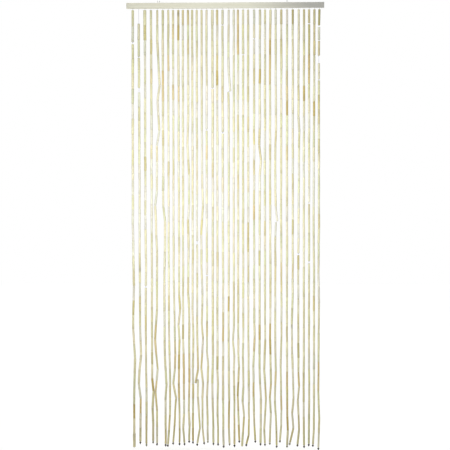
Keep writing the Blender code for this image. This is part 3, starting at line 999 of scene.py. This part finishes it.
def bead_wood():
    """Turned wood in its own stain, satin, with a faint grain and rubbed spots."""
    nodes = Nodes("bead_wood", Roughness=0.35)
    grain = nodes.attribute("grain")
    fine = nodes.noise(grain, (1.2, 1.2, 0.25))
    rubbed = nodes.noise(grain, (0.35, 0.35, 0.35), 2.0)
    colour = nodes.grained(nodes.attribute("stain", "Color"), fine, 0.55, 1.5, low=0.35)
    colour = nodes.mix(nodes.ramp(rubbed, 0.6, 0.8, 0.0, 0.25), colour, BEAD_RUBBED)
    nodes.coat(Base_Color=colour, Roughness=nodes.ramp(rubbed, 0.35, NOISE_HIGH, 0.28, 0.5))
    nodes.bump(fine, 0.05 * MM, 0.5)
    return nodes.material


def plated_steel():
    """Plated wire, slightly dull, with fine uneven tarnish."""
    nodes = Nodes("plated_steel", Metallic=1.0, Roughness=0.32)
    tarnish = nodes.noise(nodes.place(), (700, 700, 700))
    colour = nodes.mix(nodes.ramp(tarnish, 0.4, NOISE_HIGH), STEEL_BRIGHT, STEEL_DULL)
    nodes.coat(Base_Color=colour, Roughness=nodes.ramp(tarnish, 0.35, NOISE_HIGH, 0.24, 0.52))
    nodes.bump(tarnish, 0.02 * MM, 0.5)
    return nodes.material


# Studio


def add_floor():
    bm = bmesh.new()
    bmesh.ops.create_grid(bm, x_segments=1, y_segments=1, size=FLOOR_SIZE / 2)
    mesh = bpy.data.meshes.new("floor")
    bm.to_mesh(mesh)
    floor = bpy.data.objects.new("floor", mesh)
    floor.location.z = FLOOR_Z
    bpy.context.scene.collection.objects.link(floor)
    nodes = Nodes("floor_paint", Roughness=0.9)
    away = nodes.ramp(nodes.length(nodes.place()), 0.0, FLOOR_FADE)
    nodes.coat(Base_Color=nodes.mix(away, FLOOR_MIDDLE, FLOOR_FAR))
    mesh.materials.append(nodes.material)
    floor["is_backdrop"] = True


def add_world():
    """A white room: even light on the curtain, and plain white where the camera sees past it."""
    world = bpy.data.worlds.new("white_room")
    bpy.context.scene.world = world
    world.use_nodes = True
    tree = world.node_tree
    background = tree.nodes["Background"]
    background.inputs["Color"].default_value = (1, 1, 1, 1)
    path = tree.nodes.new("ShaderNodeLightPath")
    pick = tree.nodes.new("ShaderNodeMapRange")
    pick.inputs["To Min"].default_value = ROOM_LIGHT
    pick.inputs["To Max"].default_value = ROOM_SEEN
    tree.links.new(path.outputs["Is Camera Ray"], pick.inputs["Value"])
    tree.links.new(pick.outputs[0], background.inputs["Strength"])


def add_skylight():
    """Light from straight above, which whitens the floor and hardly touches the strands."""
    light = bpy.data.lights.new("skylight", "SUN")
    light.energy = SKY_POWER
    light.angle = SKY_ANGLE
    bpy.context.scene.collection.objects.link(bpy.data.objects.new("skylight", light))


def add_soft_light(name, place, power):
    """A tall softbox with a grid, a little above the curtain's middle.

    Its light falls off both up and down, most of all towards the curtain's bottom.
    """
    light = bpy.data.lights.new(name, "AREA")
    light.shape = "RECTANGLE"
    light.size, light.size_y = SOFTBOX_SIZE
    light.spread = SOFTBOX_SPREAD
    light.energy = power
    lamp = bpy.data.objects.new(name, light)
    lamp.location = place
    way = Vector(SOFTBOX_AIM) - Vector(place)
    lamp.rotation_euler = way.to_track_quat("-Z", "Y").to_euler()
    lamp.visible_camera = False
    bpy.context.scene.collection.objects.link(lamp)


def add_camera():
    camera = bpy.data.objects.new("camera", bpy.data.cameras.new("camera"))
    camera.data.angle = CAMERA_FIELD
    camera.matrix_world = (
        Matrix.Translation(CAMERA_PLACE)
        @ Matrix.Rotation(CAMERA_TURN, 4, "Z")
        @ Matrix.Rotation(math.pi / 2 + CAMERA_TILT, 4, "X")
    )
    bpy.context.scene.collection.objects.link(camera)
    bpy.context.scene.camera = camera


def studio():
    bpy.context.scene.view_settings.view_transform = "Standard"
    add_camera()
    add_floor()
    add_world()
    add_skylight()
    add_soft_light("key", KEY_PLACE, KEY_POWER)
    add_soft_light("fill_behind", FILL_PLACE, FILL_POWER)


def curtain():
    wood = rail_wood()
    steel = plated_steel()
    cane = bamboo()
    cord = twine()
    stained = bead_wood()
    number = 1
    for half in ("left", "right"):
        node = "strands_" + half
        strands = read_strands(node, number)
        number += len(strands)
        tube_pieces(strands, node, cane)
        cords = [swept(cord_line(strand), CORD_RADIUS, CORD_SIDES, False) for strand in strands]
        piece_from("cords_" + half, cords, cord, node)
        knots = [one for strand in strands for one in knots_of(strand)]
        piece_from("knots_" + half, knots, cord, node)
        beads = [turned_bead(strand) for strand in strands if strand.bead]
        piece_from("end_beads_" + half, beads, stained, node)
        root_strip(strands, node, wood)
        screw_eye("screw_eye_" + half, steel)
    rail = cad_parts["header_rail"]
    rail.material_slots[0].material = wood


curtain()
studio()
boxes = {"cad": CAD_BOUNDS, "visual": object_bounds()}
{name: [list(corner) for corner in box] for name, box in boxes.items()}
